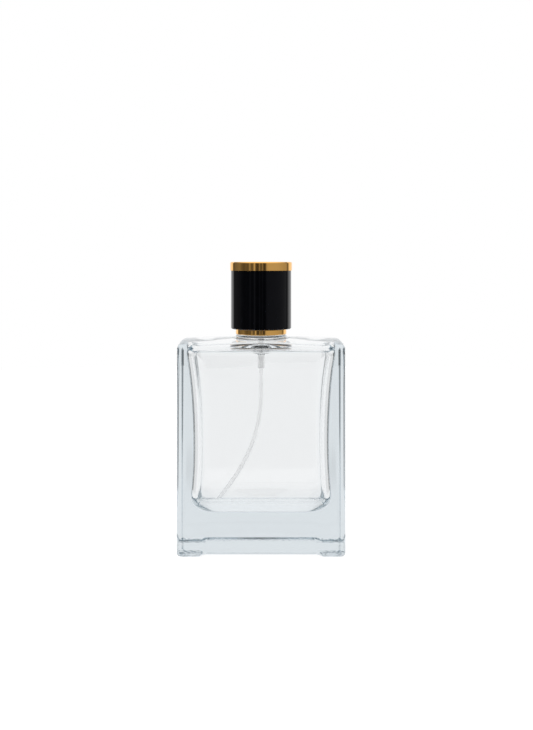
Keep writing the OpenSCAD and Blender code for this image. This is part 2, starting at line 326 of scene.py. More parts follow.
def cavity_ring(z, w, d, r):
    t = smooth((d / w - 0.6) / 0.35)
    ring = lerp_ring(rounded(w, d, min(r, min(w, d) - 0.01)), circle(w, d), t)
    amp = 0.16 * smooth((w - 8) / 10)
    out = []
    for x, y in ring:
        k = 1 + ripple(x, y, z, amp) / max(8.0, math.hypot(x, y))
        out.append((x * k, y * k, z))
    return out


def glass():
    rings = []
    # cavity, from its floor up to the bore
    n = len(CAVITY)
    for i in range(n - 1):
        p0, p1, p2, p3 = CAVITY[max(i - 1, 0)], CAVITY[i], CAVITY[i + 1], CAVITY[min(i + 2, n - 1)]
        gap = math.dist(p1, p2)
        m = max(2, min(8, int(gap / 0.8) + 1))
        for k in range(m):
            s = catmull(p0, p1, p2, p3, k / m)
            z = min(max(s[0], p1[0]), p2[0])
            rings.append(cavity_ring(z, s[1], s[2], s[3]))
    floor_rings = []
    r0 = rings[0]
    for s in (0.08, 0.2, 0.35, 0.5, 0.65, 0.8, 0.92):
        # a gently raised middle, where the glass sank least
        floor_rings.append([(x * s, y * s, FLOOR_Z - 0.0 + 0.25 * (1 - s * s)) for x, y, _ in r0])
    rings = floor_rings + rings
    # bore and lip
    for r, dz in [(4.62, -6.9), (4.52, -6.3), (4.5, -5.6), (4.5, -3.5), (4.5, -1.5), (4.5, -0.6),
                  (4.52, -0.35), (4.62, -0.12), (4.85, -0.02), (5.1, 0), (6.0, 0),
                  (6.7, 0), (6.95, -0.02), (7.2, -0.12), (7.38, -0.3), (7.48, -0.55),
                  (7.5, -0.8), (7.5, -1.4), (7.5, -2.1), (7.5, -2.55), (7.46, -2.78), (7.3, -2.98),
                  (7.05, -3.16), (6.8, -3.34), (6.62, -3.5), (6.53, -3.7), (6.5, -4.0), (6.5, -5.0),
                  (6.5, -6.0), (6.52, -6.6), (6.6, -7.0), (6.75, -7.3), (6.98, -7.52), (7.3, -7.65),
                  (7.6, -7.66), (7.85, -7.5), (8.1, -7.2), (8.3, -6.98), (8.55, -6.9), (9.2, -6.9),
                  (9.85, -6.9), (10.1, -6.93), (10.27, -7.02), (10.36, -7.18), (10.42, -7.42),
                  (10.5, -7.6), (10.66, -7.69)]:
        rings.append([(x, y, NECK_TOP + dz) for x, y in circle(r)])
    # flare of the neck and the crown of the shoulder
    for r in (10.85, 11.05, 11.25, 11.45, 11.65, 11.85, 12.0, 12.12, 12.22, 12.32, 12.42, 12.52,
              12.64, 12.78, 12.95, 13.2, 13.5):
        rings.append([(x, y, top_z(x, y)) for x, y in circle(r)])
    edge = rounded(HW - SHOULDER_R, HD - SHOULDER_R, 1.2)
    c0 = circle(13.5)
    for k in range(1, 22):
        t = k / 22
        ring = lerp_ring(c0, edge, 1 - (1 - t) ** 1.25)
        rings.append([(x, y, top_z(x, y)) for x, y in ring])
    # shoulder's edge
    for k in range(11):
        a = math.radians(90 - 9 * k)
        ins = SHOULDER_R * (1 - math.cos(a))
        ring = rounded(HW - ins, HD - ins, max(CORNER_R - ins, 1.2 - 0.55 * ins / SHOULDER_R * 0, 0.4) if k else 1.2)
        ring = rounded(HW - ins, HD - ins, 1.2 + (CORNER_R - 1.2) * (1 - ins / SHOULDER_R))
        rings.append([(x, y, BODY_H - SHOULDER_R * (1 - math.sin(a)) + crown(x, y)) for x, y in ring])
    # walls
    outer = rounded(HW, HD, CORNER_R)
    zs = [80.6, 79.7, 77.0] + [77 - 4.5 * i for i in range(1, 16)] + [7.0, 4.6, 3.2]
    for z in zs:
        rings.append([(x, y, z) for x, y in outer])
    # heel and underside
    for k in range(0, 9):
        a = math.radians(11.25 * k)
        ins = HEEL_R * (1 - math.cos(a))
        rad = CORNER_R - (CORNER_R - 1.1) * ins / HEEL_R
        ring = rounded(HW - ins, HD - ins, rad)
        rings.append([(x, y, base_z(x, y) + HEEL_R * (1 - math.sin(a))) for x, y in ring])
    inner = rounded(HW - HEEL_R, HD - HEEL_R, 1.1)
    m = 56
    for k in range(1, m):
        s = 1 - k / m
        rings.append([(x * s, y * s, base_z(x * s, y * s)) for x, y in inner])

    verts = [v for r in rings for v in r]
    faces = []
    for i in range(len(rings) - 1):
        a, b = i * RING_N, (i + 1) * RING_N
        for j in range(RING_N):
            k = (j + 1) % RING_N
            faces.append((a + j, a + k, b + k, b + j))
    top = len(verts)
    verts.append((0, 0, rings[0][0][2] + 0.01))
    bottom = len(verts)
    verts.append((0, 0, base_z(0, 0)))
    last = (len(rings) - 1) * RING_N
    for j in range(RING_N):
        k = (j + 1) % RING_N
        faces.append((top, k, j))
        faces.append((bottom, last + j, last + k))
    return make_object("glass_body", verts, faces, sharp_deg=0)


# ---------------------------------------------------------------- materials
def new_material(name):
    m = bpy.data.materials.new(name)
    m.use_nodes = True
    nt = m.node_tree
    nt.nodes.clear()
    out = nt.nodes.new("ShaderNodeOutputMaterial")
    bsdf = nt.nodes.new("ShaderNodeBsdfPrincipled")
    nt.links.new(bsdf.outputs[0], out.inputs["Surface"])
    coord = nt.nodes.new("ShaderNodeTexCoord")
    return m, nt, bsdf, out, coord


def noise_node(nt, coord, scale, detail=3.0, rough=0.5, stretch=(1, 1, 1)):
    mp = nt.nodes.new("ShaderNodeMapping")
    mp.inputs["Scale"].default_value = stretch
    nt.links.new(coord.outputs["Object"], mp.inputs["Vector"])
    n = nt.nodes.new("ShaderNodeTexNoise")
    n.inputs["Scale"].default_value = scale
    n.inputs["Detail"].default_value = detail
    n.inputs["Roughness"].default_value = rough
    nt.links.new(mp.outputs[0], n.inputs["Vector"])
    return n


def ranged(nt, source, lo, hi, f0=0.3, f1=0.7):
    r = nt.nodes.new("ShaderNodeMapRange")
    r.inputs["From Min"].default_value = f0
    r.inputs["From Max"].default_value = f1
    r.inputs["To Min"].default_value = lo
    r.inputs["To Max"].default_value = hi
    nt.links.new(source, r.inputs["Value"])
    return r.outputs["Result"]


def ramp(nt, source, c0, c1, p0=0.35, p1=0.65):
    r = nt.nodes.new("ShaderNodeValToRGB")
    r.color_ramp.elements[0].position = p0
    r.color_ramp.elements[0].color = (*c0, 1)
    r.color_ramp.elements[1].position = p1
    r.color_ramp.elements[1].color = (*c1, 1)
    nt.links.new(source, r.inputs["Fac"])
    return r.outputs["Color"]


def bump(nt, height, strength, distance, bsdf):
    b = nt.nodes.new("ShaderNodeBump")
    b.inputs["Strength"].default_value = strength
    b.inputs["Distance"].default_value = distance
    nt.links.new(height, b.inputs["Height"])
    nt.links.new(b.outputs[0], bsdf.inputs["Normal"])
    return b


def glass_material():
    m, nt, b, out, co = new_material("clear_glass")
    b.inputs["Base Color"].default_value = (1, 1, 1, 1)
    b.inputs["Transmission Weight"].default_value = 1.0
    b.inputs["IOR"].default_value = 1.52
    rough = noise_node(nt, co, 160.0, 2.0)
    nt.links.new(ranged(nt, rough.outputs["Fac"], 0.0, 0.008), b.inputs["Roughness"])
    # moulded stipple under the feet: cells about 1 mm wide
    sp = nt.nodes.new("ShaderNodeSeparateXYZ")
    nt.links.new(co.outputs["Object"], sp.inputs[0])
    foot = ranged(nt, sp.outputs[2], 1.0, 0.0, 0.0004, 0.0011)
    cells = nt.nodes.new("ShaderNodeTexVoronoi")
    cells.inputs["Scale"].default_value = 850.0
    nt.links.new(co.outputs["Object"], cells.inputs["Vector"])
    mul = nt.nodes.new("ShaderNodeMath")
    mul.operation = "MULTIPLY"
    nt.links.new(cells.outputs["Distance"], mul.inputs[0])
    nt.links.new(foot, mul.inputs[1])
    bump(nt, mul.outputs[0], 0.55, 0.00045, b)
    vol = nt.nodes.new("ShaderNodeVolumeAbsorption")
    vol.inputs["Color"].default_value = (0.905, 0.924, 0.935, 1)
    vol.inputs["Density"].default_value = 95.0
    nt.links.new(vol.outputs[0], out.inputs["Volume"])
    return m


def black_gloss_material():
    m, nt, b, out, co = new_material("black_cap")
    n = noise_node(nt, co, 260.0, 2.0)
    nt.links.new(ramp(nt, n.outputs["Fac"], (0.0006, 0.0007, 0.0012), (0.0012, 0.0013, 0.0020)), b.inputs["Base Color"])
    nt.links.new(ranged(nt, noise_node(nt, co, 90.0, 3.0).outputs["Fac"], 0.03, 0.06), b.inputs["Roughness"])
    b.inputs["IOR"].default_value = 1.5
    b.inputs["Specular IOR Level"].default_value = 0.45
    b.inputs["Specular Tint"].default_value = (0.26, 0.26, 0.29, 1)
    bump(nt, noise_node(nt, co, 900.0, 2.0).outputs["Fac"], 0.03, 0.0001, b)
    return m


def gold_material():
    m, nt, b, out, co = new_material("gold_metal")
    streak = noise_node(nt, co, 700.0, 4.0, 0.6, (1, 1, 9))
    broad = noise_node(nt, co, 70.0, 2.0)
    nt.links.new(ramp(nt, broad.outputs["Fac"], (0.955, 0.53, 0.145), (0.985, 0.565, 0.17)), b.inputs["Base Color"])
    b.inputs["Metallic"].default_value = 1.0
    nt.links.new(ranged(nt, streak.outputs["Fac"], 0.035, 0.075), b.inputs["Roughness"])
    bump(nt, streak.outputs["Fac"], 0.06, 0.00003, b)
    return m


def metal_material(name, c0, c1, r0, r1, stretch=(1, 1, 8), metallic=1.0):
    m, nt, b, out, co = new_material(name)
    streak = noise_node(nt, co, 600.0, 4.0, 0.6, stretch)
    nt.links.new(ramp(nt, streak.outputs["Fac"], c0, c1), b.inputs["Base Color"])
    b.inputs["Metallic"].default_value = metallic
    nt.links.new(ranged(nt, streak.outputs["Fac"], r0, r1), b.inputs["Roughness"])
    bump(nt, streak.outputs["Fac"], 0.15, 0.00005, b)
    return m


def plastic_material(name, c0, c1, r0, r1, grain=900.0, bump_s=0.1, trans=0.0, ior=1.49):
    m, nt, b, out, co = new_material(name)
    cloud = noise_node(nt, co, 120.0, 3.0)
    fine = noise_node(nt, co, grain, 2.0)
    nt.links.new(ramp(nt, cloud.outputs["Fac"], c0, c1), b.inputs["Base Color"])
    nt.links.new(ranged(nt, fine.outputs["Fac"], r0, r1), b.inputs["Roughness"])
    b.inputs["IOR"].default_value = ior
    b.inputs["Transmission Weight"].default_value = trans
    bump(nt, fine.outputs["Fac"], bump_s, 0.00006, b)
    return m


M = {
    "clear_glass": glass_material(),
    "black_cap": black_gloss_material(),
    "gold_metal": gold_material(),
    "raw_aluminium": metal_material("raw_aluminium", (0.80, 0.80, 0.81), (0.90, 0.90, 0.91), 0.22, 0.34),
    "stainless": metal_material("stainless", (0.60, 0.60, 0.61), (0.76, 0.76, 0.77), 0.12, 0.22, (1, 1, 1)),
    "natural_pp": plastic_material("natural_pp", (0.93, 0.93, 0.92), (0.96, 0.96, 0.95), 0.30, 0.42, trans=0.0, ior=1.4),
    "white_pe": plastic_material("white_pe", (0.84, 0.84, 0.83), (0.90, 0.90, 0.89), 0.30, 0.42),
    "clear_pp": plastic_material("clear_pp", (0.95, 0.95, 0.95), (0.99, 0.99, 0.99), 0.06, 0.12, trans=0.95, bump_s=0.0, ior=1.17),
    "tube_pe": plastic_material("tube_pe", (0.975, 0.975, 0.975), (0.99, 0.99, 0.99), 0.10, 0.16, trans=0.96, bump_s=0.0, ior=1.16),
    "black_pp": plastic_material("black_pp", (0.018, 0.018, 0.02), (0.03, 0.03, 0.033), 0.25, 0.38),
    "seal_rubber": plastic_material("seal_rubber", (0.02, 0.02, 0.02), (0.04, 0.04, 0.04), 0.45, 0.6),
}


def finish_piece(ob, body, node, slot, look=None):
    ob.data.materials.clear()
    ob.data.materials.append(M[look or slot])
    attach(ob, body)
    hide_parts(node)
    return ob


# ---------------------------------------------------------------- pieces
bottle = finish_piece(glass(), "bottle", "glass_bottle", "clear_glass")

# gold collar: rolled foot, flange, step and in-turned lip
finish_piece(lathe("gold_collar", [
    (9.95, UP + 85.45, 0.05), (10.05, UP + 85.35, 0.05), (10.3, UP + 85.35, 0.08), (10.4, UP + 85.5, 0.08),
    (10.4, UP + 87.3, 0.16), (10.25, UP + 87.5, 0.12), (9.2, UP + 87.5, 0.15), (9.2, UP + 100.1, 0.25),
    (8.95, UP + 100.4, 0.2), (6.8, UP + 100.4, 0.12), (6.8, UP + 100.0, 0.12), (8.75, UP + 100.0, 0.1),
    (8.75, UP + 87.05, 0.05), (9.95, UP + 87.05, 0.1)], seg=192),
    "bottle", "collar", "gold_metal")

# black cap shell and its gold top
c_lo, c_hi = node_box("cap_shell")
t_lo, t_hi = node_box("cap_top")
CR, TR, CZ0, CZ1, CZ2 = c_hi.x, t_hi.x, c_lo.z, t_lo.z, t_hi.z
finish_piece(lathe("cap_shell_black", [
    (10.6, CZ0, 0.15), (CR - 0.3, CZ0, 0.2), (CR, CZ0 + 0.3, 0.25), (CR, CZ1 - 0.12, 0.06), (CR - 0.12, CZ1 - 0.05, 0.03),
    (TR - 0.55, CZ1 - 0.05, 0.0), (TR - 0.55, CZ1, 0.0), (TR - 0.55, CZ2 - 0.55, 0.1), (0, CZ2 - 0.55), (0, UP + 112.2), (10.6, UP + 112.2, 0.3)],
    seg=192),
    "cap", "cap_shell", "black_cap")
finish_piece(lathe("cap_top_gold", [
    (TR - 0.5, CZ1, 0.0), (TR, CZ1, 0.01), (TR, CZ2 - 0.5, 0.15),
    (TR - 0.15, CZ2 - 0.15, 0.12), (TR - 0.5, CZ2, 0.15), (0, CZ2), (0, CZ2 - 0.5), (TR - 0.5, CZ2 - 0.5, 0.1)], seg=192),
    "cap", "cap_top", "gold_metal")


# dip tube: a smooth sweep with both walls, its ends closed by flat rings
def sweep_tube(name, route, r_out, r_in, per=10, seg=32, ring_fn=None):
    line = []
    n = len(route)
    for i in range(n - 1):
        p0, p1, p2, p3 = route[max(i - 1, 0)], route[i], route[i + 1], route[min(i + 2, n - 1)]
        for k in range(per):
            line.append(catmull(p0, p1, p2, p3, k / per))
    line.append(tuple(map(float, route[-1])))
    m = len(line)
    verts = []
    for rad in (r_out, r_in):
        for i in range(m):
            a, b = line[max(i - 1, 0)], line[min(i + 1, m - 1)]
            t = Vector((b[0] - a[0], b[1] - a[1])).normalized()
            s = Vector((-t.y, t.x))
            for j in range(seg):
                w = 2 * math.pi * j / seg
                verts.append((line[i][0] + rad * math.cos(w) * s.x, rad * math.sin(w),
                              line[i][1] + rad * math.cos(w) * s.y))
    faces = []
    o = m * seg
    for i in range(m - 1):
        for j in range(seg):
            k = (j + 1) % seg
            faces.append((i * seg + j, i * seg + k, (i + 1) * seg + k, (i + 1) * seg + j))
            faces.append((o + i * seg + j, o + (i + 1) * seg + j, o + (i + 1) * seg + k, o + i * seg + k))
    e = (m - 1) * seg
    for j in range(seg):
        k = (j + 1) % seg
        faces.append((j, o + j, o + k, k))
        faces.append((e + j, e + k, o + e + k, o + e + j))
    return make_object(name, verts, faces, 40)


finish_piece(sweep_tube("dip_tube_pe", TUBE_ROUTE, 0.85, 0.5), "bottle", "dip_tube", "tube_pe")

# pump housing
PUMP = [
    (1.0, 71.6, 0.05), (1.2, 71.6, 0.08), (1.375, 71.9, 0.1), (1.375, 74.0, 0.3), (1.28, 77.7, 0.2),
    (1.9, 78.35, 0.25), (3.0, 78.5, 0.1), (3.25, 78.75, 0.15), (3.25, 88.0, 0.1), (4.2, 88.7, 0.1), (4.2, 93, 0.0),
    (6.3, 93, 0.1), (6.3, 94, 0.1), (3.4, 94, 0.1), (3.4, 91.8, 0.05), (2.5, 91.8, 0.1), (2.5, 82.4, 0.1),
    (1.35, 82.4, 0.1), (1.05, 82.1, 0.05), (1.05, 81.9, 0.05), (1.45, 81.6, 0.05), (1.45, 79.9, 0.05),
    (0.45, 79.0, 0.1), (0.45, 77.2, 0.05), (0.85, 77.2, 0.0), (0.85, 71.9, 0.0)]
finish_piece(lathe("pump_barrel", [(r, z + UP, f) for r, z, f in PUMP], seg=96, support=0.04),
             "bottle", "pump_housing", "natural_pp", "clear_pp")

def up(loop):
    return [(q[0], q[1] + UP) + tuple(q[2:]) for q in loop]


def rod(r, length, loc, rot=(90, 0, 0), seg=64):
    return turned(lathe("cutter", [(0, 0), (r, 0), (r, length), (0, length)], seg=seg), rot, loc)


def box_at(lo, hi, turn):
    vs = [(x, y, z) for x in (lo[0], hi[0]) for y in (lo[1], hi[1]) for z in (lo[2], hi[2])]
    fs = [(0, 1, 3, 2), (4, 6, 7, 5), (0, 4, 5, 1), (2, 3, 7, 6), (0, 2, 6, 4), (1, 5, 7, 3)]
    return turned(make_object("cutter", vs, fs, 0), (0, 0, turn))


# spray button: gold shell with a dished top, black core, orifice cup
NZ = 106.2 + UP
finish_piece(cut(lathe("button_shell", up([
    (6.1, 99.4, 0.04), (6.5, 99.4, 0.1), (6.5, 110.5, 0.35), (6.0, 110.9, 0.25), (5.2, 110.9, 0.3),
    (4.0, 110.72, 0.4), (0, 110.68), (0, 110.5), (6.1, 110.5, 0.05)]), seg=160),
    [rod(2.0, 4, (0, -4, NZ))]), "actuator", "actuator_shell", "gold_metal")
finish_piece(cut(lathe("button_core", up([
    (1.63, 100.6, 0.12), (2.7, 100.6, 0.12), (2.7, 103.6, 0.15), (4.9, 103.6, 0.15), (4.9, 99.6, 0.08),
    (6.1, 99.6, 0.08), (6.1, 110.5, 0.04), (0, 110.5), (0, 107.0), (0.7, 107.0, 0.1), (0.7, 104.22, 0.05),
    (1.63, 104.22, 0.05)]), seg=128),
    [rod(1.6, 4, (0, -3.6, NZ)), rod(0.5, 4, (0, 0.2, NZ), seg=32)]), "actuator", "actuator", "black_pp")
finish_piece(turned(lathe("orifice_cup", [
    (0.9, 0, 0.05), (1.6, 0, 0.05), (1.6, 1.9, 0.1), (1.45, 2.15, 0.08), (0.6, 2.15, 0.1), (0.15, 1.8, 0.04),
    (0.15, 1.3, 0.03), (0.9, 1.0, 0.08)], seg=96), (90, 0, 0), (0, -4.0, NZ)), "actuator", "nozzle_insert", "white_pe")


# liner of the cap, with its grip ribs drawn out of the wall
def liner():
    ob = lathe("cap_liner_ribbed", up([
        (9.8, 87.6, 0.06), (10.6, 87.6, 0.06), (10.6, 112.2, 0.2), (0, 112.2), (0, 111.4), (9.55, 111.4, 0.5),
        (9.55, 100.9), (9.55, 100.3), (9.55, 99.7), (9.55, 96.0), (9.55, 92.0), (9.55, 89.9), (9.55, 89.4),
        (9.55, 88.9), (9.55, 88.0, 0.1)]), seg=320)
    for v in ob.data.vertices:
        x, y, z = v.co / MM
        r = math.hypot(x, y)
        if r > 9.6 or r < 9.5 or not UP + 88.95 < z < UP + 100.6:
            continue
        a = (math.degrees(math.atan2(y, x)) / 45.0 - 0.5)
        off = abs(a - round(a)) * 45.0 / 3.6
        if off >= 1:
            continue
        h = 0.29 * smooth(1.6 * (1 - off)) * smooth((z - UP - 88.9) / 0.5) * smooth((UP + 100.6 - z) / 0.6)
        k = (r - h) / r
        v.co.x *= k
        v.co.y *= k
    return ob


finish_piece(liner(), "cap", "cap_liner", "natural_pp")

# plastic insert that grips the ferrule, split into fingers
finish_piece(cut(lathe("collar_grip", up([
    (7.95, 85.5, 0.1), (9.7, 85.5, 0.1), (9.95, 85.7, 0.08), (9.95, 87.05, 0.08), (8.75, 87.05, 0.1),
    (8.75, 97.2, 0.12), (8.5, 97.4, 0.12), (8.0, 97.4, 0.15), (7.2, 94.5, 0.15), (7.2, 93.4, 0.1),
    (7.95, 93.4, 0.1)]), seg=144),
    [box_at((7, -0.6, 94.6 + UP), (10, 0.6, 98.6 + UP), 60 * (i + 0.5)) for i in range(6)]),
    "bottle", "collar_insert", "natural_pp")

finish_piece(lathe("crimp_ferrule", up([
    (3.0, 94.8, 0.08), (5.2, 94.8, 0.1), (5.2, 94.0, 0.1), (6.35, 94.0, 0.1), (6.35, 93.0, 0.1), (7.55, 93.0, 0.15),
    (7.55, 89.18, 0.15), (6.9, 88.66, 0.06), (7.15, 88.33, 0.08), (7.95, 88.97, 0.25), (7.95, 93.15, 0.2),
    (7.7, 93.4, 0.2), (6.75, 93.4, 0.2), (6.75, 94.2, 0.15), (6.55, 94.4, 0.15), (5.6, 94.4, 0.2),
    (5.6, 95.0, 0.15), (5.4, 95.2, 0.15), (3.0, 95.2, 0.1)]), seg=160), "bottle", "ferrule", "raw_aluminium")
finish_piece(lathe("pump_turret", up([
    (1.65, 92.4, 0.08), (3.4, 92.4, 0.04), (3.4, 94, 0.05), (5.2, 94, 0.08), (5.2, 94.8, 0.08), (2.9, 94.8, 0.12),
    (2.9, 96.1, 0.15), (2.6, 96.4, 0.15), (1.65, 96.4, 0.12)]), seg=96), "bottle", "turret", "natural_pp")
finish_piece(lathe("gasket_stem", up([
    (1.65, 91.8, 0.08), (3.4, 91.8, 0.08), (3.4, 92.4, 0.08), (1.65, 92.4, 0.08)]), seg=96),
    "bottle", "stem_gasket", "seal_rubber")
finish_piece(lathe("gasket_neck", up([
    (4.3, 92, 0.15), (7.3, 92, 0.2), (7.3, 93, 0.2), (4.3, 93, 0.15)]), seg=128), "bottle", "neck_gasket", "white_pe")
finish_piece(lathe("stem_tube", up([
    (0.95, 91.25, 0.08), (1.9, 91.25, 0.08), (1.9, 91.75, 0.1), (1.6, 91.75, 0.05), (1.6, 103.9, 0.1),
    (1.4, 104.2, 0.1), (0.7, 104.2, 0.1), (0.7, 92.8, 0.05), (0.95, 92.8, 0.05)]), seg=96), "stem", "stem", "natural_pp")
finish_piece(cut(lathe("stem_guide", up([
    (0, 87.4), (1.3, 87.4, 0.12), (1.5, 87.7, 0.1), (1.5, 88.4, 0.05), (2.2, 88.4, 0.08), (2.2, 88.9, 0.08),
    (0.95, 88.9, 0.05), (0.95, 92.8, 0.05), (0.45, 92.8, 0.05), (0.45, 88.97, 0.05), (0, 88.97)]), seg=96),
    [turned(rod(0.2, 3, (0, 0, 0), (0, 90, 0), 24), (0, 0, 0), (-1.5, 0, 89.17 + UP))]), "stem", "stem_core", "white_pe")
finish_piece(lathe("pump_piston", up([
    (1.0, 88.92, 0.06), (2.25, 88.92, 0.1), (2.47, 89.0, 0.06), (2.47, 89.2, 0.06), (2.0, 89.5, 0.2),
    (1.8, 89.7, 0.2), (1.8, 90.0, 0.2), (2.0, 90.2, 0.2), (2.47, 90.45, 0.06), (2.47, 90.62, 0.06),
    (2.25, 90.72, 0.08), (1.0, 90.72, 0.06)]), seg=96), "piston", "piston", "white_pe")


def ball():
    k, seg = 24, 48
    vs = [(0, 0, -1.2)]
    for i in range(1, k):
        a = math.pi * i / k - math.pi / 2
        vs += [(1.2 * math.cos(a) * math.cos(2 * math.pi * j / seg), 1.2 * math.cos(a) * math.sin(2 * math.pi * j / seg),
                1.2 * math.sin(a)) for j in range(seg)]
    vs.append((0, 0, 1.2))
    fs = [(0, 1 + (j + 1) % seg, 1 + j) for j in range(seg)]
    for i in range(k - 2):
        a, b = 1 + i * seg, 1 + (i + 1) * seg
        fs += [(a + j, a + (j + 1) % seg, b + (j + 1) % seg, b + j) for j in range(seg)]
    a, e = 1 + (k - 2) * seg, len(vs) - 1
    fs += [(a + j, a + (j + 1) % seg, e) for j in range(seg)]
    return make_object("valve_ball", [(x, y, z + 80.22 + UP) for x, y, z in vs], fs, 0)


finish_piece(ball(), "ball", "inlet_ball", "stainless")


# return spring: closed ends, the pitch opens towards the middle
def spring():
    turns, wire, rad = 5, 0.19, 1.95
    z0, z1 = 82.4 + UP + wire + 0.01, 88.4 + UP - wire - 0.01
    per, k = 72, 20
    n = per * turns
    vs = []
    line = []
    for i in range(n + 1):
        t = i / n
        f = 0.4 * t if t < 0.2 else 1 - 0.4 * (1 - t) if t > 0.8 else 0.08 + (t - 0.2) * 1.4
        a = -2 * math.pi * turns * t
        line.append((a, z0 + (z1 - z0) * f))
    for a, z in line:
        for j in range(k):
            b = 2 * math.pi * j / k
            r = rad + wire * math.cos(b)
            vs.append((r * math.cos(a), r * math.sin(a), z + wire * math.sin(b)))
    fs = []
    for i in range(n):
        for j in range(k):
            q = (j + 1) % k
            fs.append((i * k + j, i * k + q, (i + 1) * k + q, (i + 1) * k + j))
    c0 = len(vs)
    for a, z in (line[0], line[-1]):
        vs.append((rad * math.cos(a), rad * math.sin(a), z))
    for j in range(k):
        q = (j + 1) % k
        fs.append((c0, q, j))
        fs.append((c0 + 1, n * k + j, n * k + q))
    return make_object("return_coil", vs, fs, 40)


coil = finish_piece(spring(), "bottle", "return_spring", "stainless")
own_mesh(coil)

# other CAD nodes keep their shape and get their finish
SLOTS = {r["node"]: r["material_slot"] for r in frame["record"]["subparts"]}
for name, ob in frame["nodes"].items():
    if ob.hide_render:
        continue
    slot = SLOTS[name]
    for i in range(len(ob.material_slots)):
        ob.material_slots[i].material = M[slot]
    if not ob.material_slots:
        ob.data.materials.append(M[slot])

# ---------------------------------------------------------------- stage and light
def floor_disc():
    verts = [(0, 0, 0)]
    faces = []
    rs = [60, 120, 240, 420, 700]
    seg = 64
    for r in rs:
        for j in range(seg):
            a = 2 * math.pi * j / seg
            verts.append((r * math.cos(a), r * math.sin(a), 0))
    for j in range(seg):
        faces.append((0, 1 + j, 1 + (j + 1) % seg))
    for i in range(len(rs) - 1):
        for j in range(seg):
            k = (j + 1) % seg
            a, b = 1 + i * seg, 1 + (i + 1) * seg
            faces.append((a + j, b + j, b + k, a + k))
    ob = make_object("floor", [(x, y, z - 0.02) for x, y, z in verts], faces, 0)
    m, nt, b, out, co = new_material("floor_white")
    b.inputs["Base Color"].default_value = (0.2, 0.2, 0.2, 1)
    b.inputs["Roughness"].default_value = 0.9
    b.inputs["Specular IOR Level"].default_value = 0.0
    b.inputs["Emission Color"].default_value = (1, 1, 1, 1)
    # the paper is lit from behind the bottle, so its front part is dimmer in
    # what the glass and the metal mirror
    def nmath(op, *args):
        n = nt.nodes.new("ShaderNodeMath")
        n.operation = op
        for i, a in enumerate(args):
            if isinstance(a, (int, float)):
                n.inputs[i].default_value = a
            else:
                nt.links.new(a, n.inputs[i])
        return n.outputs[0]

    sp = nt.nodes.new("ShaderNodeSeparateXYZ")
    nt.links.new(co.outputs["Object"], sp.inputs[0])
    front = nmath("MULTIPLY", sp.outputs[1], -1.0)
    ang = nmath("ABSOLUTE", nmath("ARCTAN2", sp.outputs[0], front))
    wedge = nt.nodes.new("ShaderNodeMapRange")
    wedge.interpolation_type = "SMOOTHSTEP"
    nt.links.new(ang, wedge.inputs["Value"])
    wedge.inputs["From Min"].default_value = 0.42
    wedge.inputs["From Max"].default_value = 0.62
    wedge.inputs["To Min"].default_value = 1.0
    wedge.inputs["To Max"].default_value = 0.0
    near = nt.nodes.new("ShaderNodeMapRange")
    near.interpolation_type = "SMOOTHSTEP"
    nt.links.new(front, near.inputs["Value"])
    near.inputs["From Min"].default_value = 0.03
    near.inputs["From Max"].default_value = 0.12
    dim = nmath("MULTIPLY", nmath("MULTIPLY", wedge.outputs[0], near.outputs[0]), 0.70)
    lpf = nt.nodes.new("ShaderNodeLightPath")
    seen = nmath("MULTIPLY", dim, nmath("SUBTRACT", 1.0, lpf.outputs["Is Camera Ray"]))
    # painted shade and painted light on the floor: at both sides its emission is turned down, standing for the dark
    # room off the paper;
    # under the bottle it is turned up, for the light the glass gathers
    az = nmath("MULTIPLY", nmath("ABSOLUTE", nmath("ARCTAN2", sp.outputs[0], sp.outputs[1])), 180 / math.pi)
    rad = nmath("SQRT", nmath("ADD", nmath("MULTIPLY", sp.outputs[0], sp.outputs[0]),
                              nmath("MULTIPLY", sp.outputs[1], sp.outputs[1])))

    def step(value, lo, hi):
        n = nt.nodes.new("ShaderNodeMapRange")
        n.interpolation_type = "SMOOTHSTEP"
        nt.links.new(value, n.inputs["Value"])
        n.inputs["From Min"].default_value = lo
        n.inputs["From Max"].default_value = hi
        return n.outputs[0]

    off = nmath("MULTIPLY", nmath("MULTIPLY", step(az, 10, 18), nmath("SUBTRACT", 1.0, step(az, 54, 62))),
                step(rad, 0.10, 0.30))
    shallow = nmath("MULTIPLY", nmath("LESS_THAN", lpf.outputs["Transmission Depth"], 2.5),
                    nmath("GREATER_THAN", lpf.outputs["Transmission Depth"], 0.5))
    flank = nmath("MULTIPLY", nmath("MULTIPLY", step(az, 56, 66), nmath("SUBTRACT", 1.0, step(az, 118, 128))),
                  step(rad, 0.06, 0.16))
    side = nmath("MULTIPLY", nmath("ADD", nmath("MULTIPLY", off, 0.76), nmath("MULTIPLY", flank, 0.19)), shallow)
    under = nmath("MULTIPLY", nmath("SUBTRACT", 1.0, step(rad, 0.018, 0.034)),
                  nmath("SUBTRACT", 1.0, lpf.outputs["Is Camera Ray"]))
    cam_up = nmath("MULTIPLY", lpf.outputs["Is Camera Ray"], 0.10)
    em = nmath("ADD", nmath("SUBTRACT", nmath("SUBTRACT", 0.83, seen), side),
               nmath("ADD", nmath("MULTIPLY", under, 0.13), cam_up))
    nt.links.new(em, b.inputs["Emission Strength"])
    ob.data.materials.append(m)
    return ob


floor_disc()

world = bpy.data.worlds.new("studio")
scene.world = world
world.use_nodes = True
wt = world.node_tree
wt.nodes.clear()
w_out = wt.nodes.new("ShaderNodeOutputWorld")
tc = wt.nodes.new("ShaderNodeTexCoord")
lp = wt.nodes.new("ShaderNodeLightPath")


def wmath(op, *args):
    n = wt.nodes.new("ShaderNodeMath")
    n.operation = op
    for i, a in enumerate(args):
        if isinstance(a, (int, float)):
            n.inputs[i].default_value = a
        else:
            wt.links.new(a, n.inputs[i])
    return n.outputs[0]


